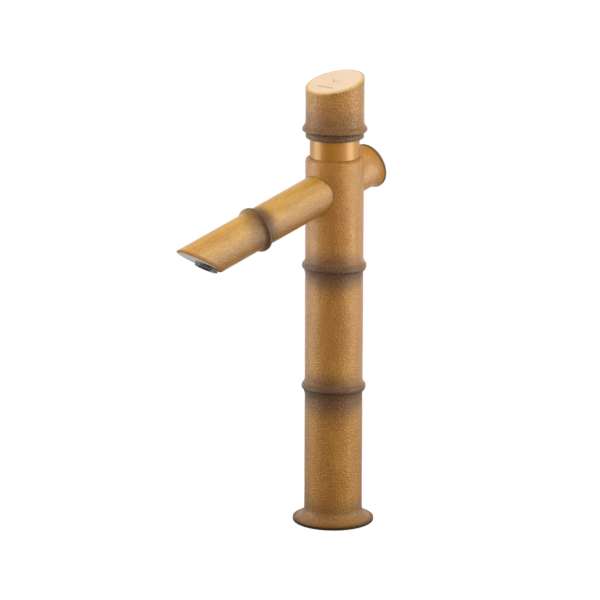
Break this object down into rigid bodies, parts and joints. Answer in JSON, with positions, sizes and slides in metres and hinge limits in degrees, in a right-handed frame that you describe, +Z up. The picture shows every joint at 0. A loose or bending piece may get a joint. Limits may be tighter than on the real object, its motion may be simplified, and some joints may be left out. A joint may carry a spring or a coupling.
{
  "type": "pillar tap",
  "caption": "Tall single-hole tap cast as a bamboo stem with slanted spout, branch stub and a slanted press-down cap that closes by itself.",
  "frame": {"origin": "on the column's axis, at the counter's top face on which the foot gasket rests", "axes": "+Z up along the column; the spout points to -Y and the rear stub to +Y; +X is to the right seen from the front"},
  "size_m": [0.0476, 0.1519, 0.3181],
  "materials": {
    "bamboo_paint": "fine-grained satin paint in tan and ochre with scorched brown bands at the nodes",
    "cream_paint": "smooth satin cream",
    "gold_sleeve": "smooth satin gold",
    "black_rubber": "matte",
    "brass": "machined",
    "steel": "machined stainless",
    "copper_tube": "drawn copper tube",
    "chrome": "polished",
    "white_plastic": "moulded"
  },
  "bodies": {
    "tap_body": {"column": "bamboo_paint", "foot_gasket": "black_rubber", "shank": "brass", "clamp_gasket": "black_rubber", "clamp_washer": "steel", "lock_nut": "brass", "inlet_strainer": "steel", "riser_pipe": "copper_tube", "riser_o_rings": "black_rubber", "valve_body": "brass", "cartridge_barrel": "brass", "cartridge_o_rings": "black_rubber", "valve_seat": "steel", "guide_sleeve": "gold_sleeve", "guide_pin": "steel", "gland_nut": "brass", "stem_packing": "black_rubber", "return_spring": "steel", "spout": "bamboo_paint", "spout_face": "cream_paint", "spout_nipple": "brass", "nipple_o_rings": "black_rubber", "spout_grub_screw": "steel", "aerator_housing": "chrome", "aerator_screen": "steel", "aerator_insert": "white_plastic", "aerator_washer": "black_rubber", "rear_stub": "bamboo_paint", "stub_screw": "steel", "stub_face": "cream_paint"},
    "press_cap": {"push_cap": "bamboo_paint", "cap_face": "cream_paint", "cap_screw": "steel", "plunger": "steel", "metering_piston": "brass", "piston_seal": "black_rubber", "piston_clip": "steel", "valve_disc": "brass", "valve_washer": "black_rubber", "disc_nut": "steel"}
  },
  "joints": [
    {"name": "cap_press", "type": "slide", "parent": "tap_body", "child": "press_cap", "axis": [0, 0, -1], "range_m": [0, 0.007], "stiffness_N_per_m": 900, "springref_m": -0.01, "deforming": ["return_spring"]}
  ]
}
